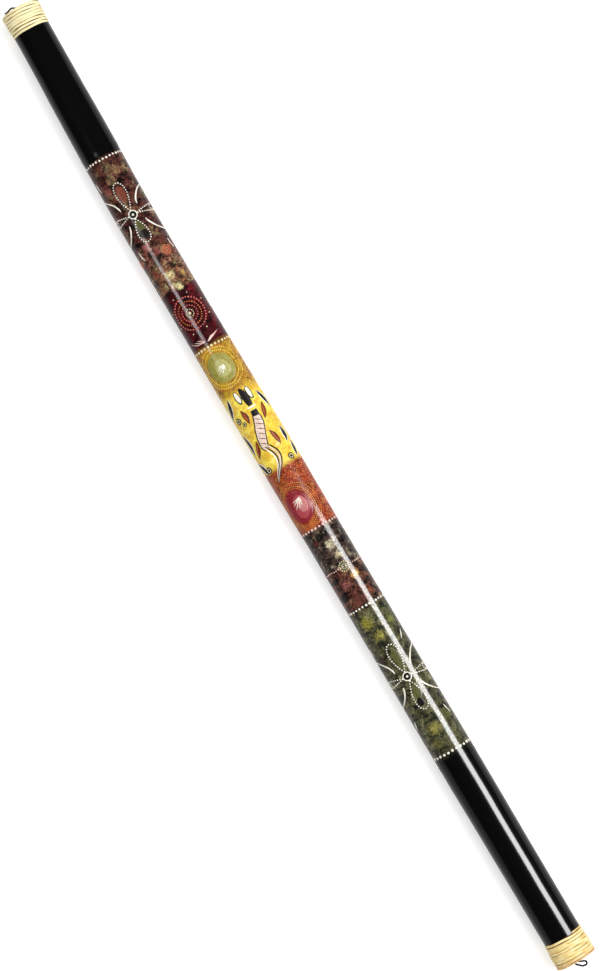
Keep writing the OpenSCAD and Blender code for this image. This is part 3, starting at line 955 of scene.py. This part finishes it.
def sawn_pine():
    """Sawn pine, end grain outwards: growth rings about 2 mm apart, dull and dry."""
    def colour(tree):
        rings = add(tree, "ShaderNodeTexWave", {
            "Vector": point_of(tree), "Scale": 25.0, "Distortion": 2.0, "Detail": 2.0},
            wave_type="RINGS", rings_direction="X").outputs["Fac"]
        return ramp_of(tree, rings, [(0.2, "#A87C48"), (0.8, "#CDA56E")])
    return surface("sawn_pine", colour, lambda t: grain(t, (0.8, 0.8, 0.8)), 0.15, Roughness=0.75)


def split_bamboo():
    """Split bamboo, unsanded: straw coloured with long darker fibres."""
    def colour(tree):
        return ramp_of(tree, grain(tree, (0.6, 3, 3)), [(0.3, "#A98450"), (0.7, "#D9BC84")])
    return surface("split_bamboo", colour, lambda t: grain(t, (0.4, 2, 2)), 0.1, Roughness=0.6)


def river_gravel():
    """Water-worn gravel: grey to tan, finely speckled, matt."""
    def colour(tree):
        stone = ramp_of(tree, grain(tree, (6, 6, 6), 2), [(0.3, "#6E675E"), (0.7, "#A59A88")])
        speck = ramp_of(tree, grain(tree, (0.4, 0.4, 0.4)), [(0.4, 0.7), (0.6, 1.0)])
        return blend_of(tree, 1.0, stone, speck, "MULTIPLY")
    return surface("river_gravel", colour, lambda t: grain(t, (0.5, 0.5, 0.5)), 0.08, Roughness=0.8)


FINISH = {"plug": sawn_pine(), "knot": CORD, "pins": split_bamboo(), "pebbles": river_gravel()}
for name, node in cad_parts.items():
    for word, material in FINISH.items():
        if word in name:
            node.data.materials.clear()
            node.data.materials.append(material)


# ---------------------------------------------------------------- floor and light

def studio_paper():
    """Matt white background paper. It shows as white to the eye and in reflections, and it
    keeps the stick's shadow."""
    def colour(tree):
        return ramp_of(tree, grain(tree, (4, 4, 4)), [(0.3, "#F6F6F5"), (0.7, "#F8F8F8")])
    made = surface("studio_paper", colour, Roughness=0.9)
    tree = made.node_tree
    rays = add(tree, "ShaderNodeLightPath").outputs
    seen = add(tree, "ShaderNodeMath", {0: rays["Is Camera Ray"], 1: rays["Is Glossy Ray"]},
               operation="MAXIMUM").outputs[0]
    seen = add(tree, "ShaderNodeMath", {0: seen, 1: rays["Is Transmission Ray"]},
               operation="MAXIMUM").outputs[0]
    glow = add(tree, "ShaderNodeMath", {0: seen, 1: 0.35}, operation="MULTIPLY").outputs[0]
    shader = tree.nodes["Principled BSDF"]
    shader.inputs["Specular IOR Level"].default_value = 0.1
    shader.inputs["Emission Color"].default_value = linear("#FFFFFF")
    tree.links.new(glow, shader.inputs["Emission Strength"])
    return made


def make_floor():
    """The paper, just below the stick."""
    half, drop = 3000, 0.3
    corners = [(x, y, -drop) for x, y in ((-half, -half), (half, -half), (half, half), (-half, half))]
    floor = make("floor", corners, [(0, 1, 2, 3)], studio_paper())


def softbox(name, x, lean, distance, length, width, glow, in_gloss=True, in_diffuse=True):
    """A rectangular lamp over the stick at x, leaning to +Y, that faces the stick. glow is
    the brightness of its face."""
    data = bpy.data.lights.new(name, "AREA")
    data.shape = "RECTANGLE"
    data.size, data.size_y = length, width
    data.energy = glow * math.pi * length * width
    lamp = bpy.data.objects.new(name, data)
    a = math.radians(lean)
    lamp.location = (x, distance * math.sin(a), distance * math.cos(a))
    lamp.rotation_euler = (-a, 0, 0)
    lamp.visible_glossy = in_gloss
    lamp.visible_diffuse = in_diffuse
    bpy.context.scene.collection.objects.link(lamp)


def make_light():
    """Softboxes that show in the gloss, fills that don't, and a dim white room."""
    softbox("strip_softbox", 0.402, 38, 1.2, 0.75, 0.54, 90, in_diffuse=False)
    softbox("small_softbox", -0.375, -24, 1.2, 0.18, 0.36, 38, in_diffuse=False)
    softbox("low_reflector", 0.4, -84, 1.1, 1.0, 0.3, 1.2, in_diffuse=False)
    softbox("side_fill", 0.1, 34, 2.2, 2.4, 1.6, 3.2, in_gloss=False)
    softbox("ceiling_fill", 0.0, 0, 2.6, 4.0, 4.0, 1.5, in_gloss=False)
    world = bpy.data.worlds.new("studio")
    world.use_nodes = True
    world.node_tree.nodes["Background"].inputs["Color"].default_value = linear("#FFFFFF")
    world.node_tree.nodes["Background"].inputs["Strength"].default_value = 0.14
    bpy.context.scene.world = world


make_floor()
make_light()
bpy.context.scene.view_settings.view_transform = "Standard"
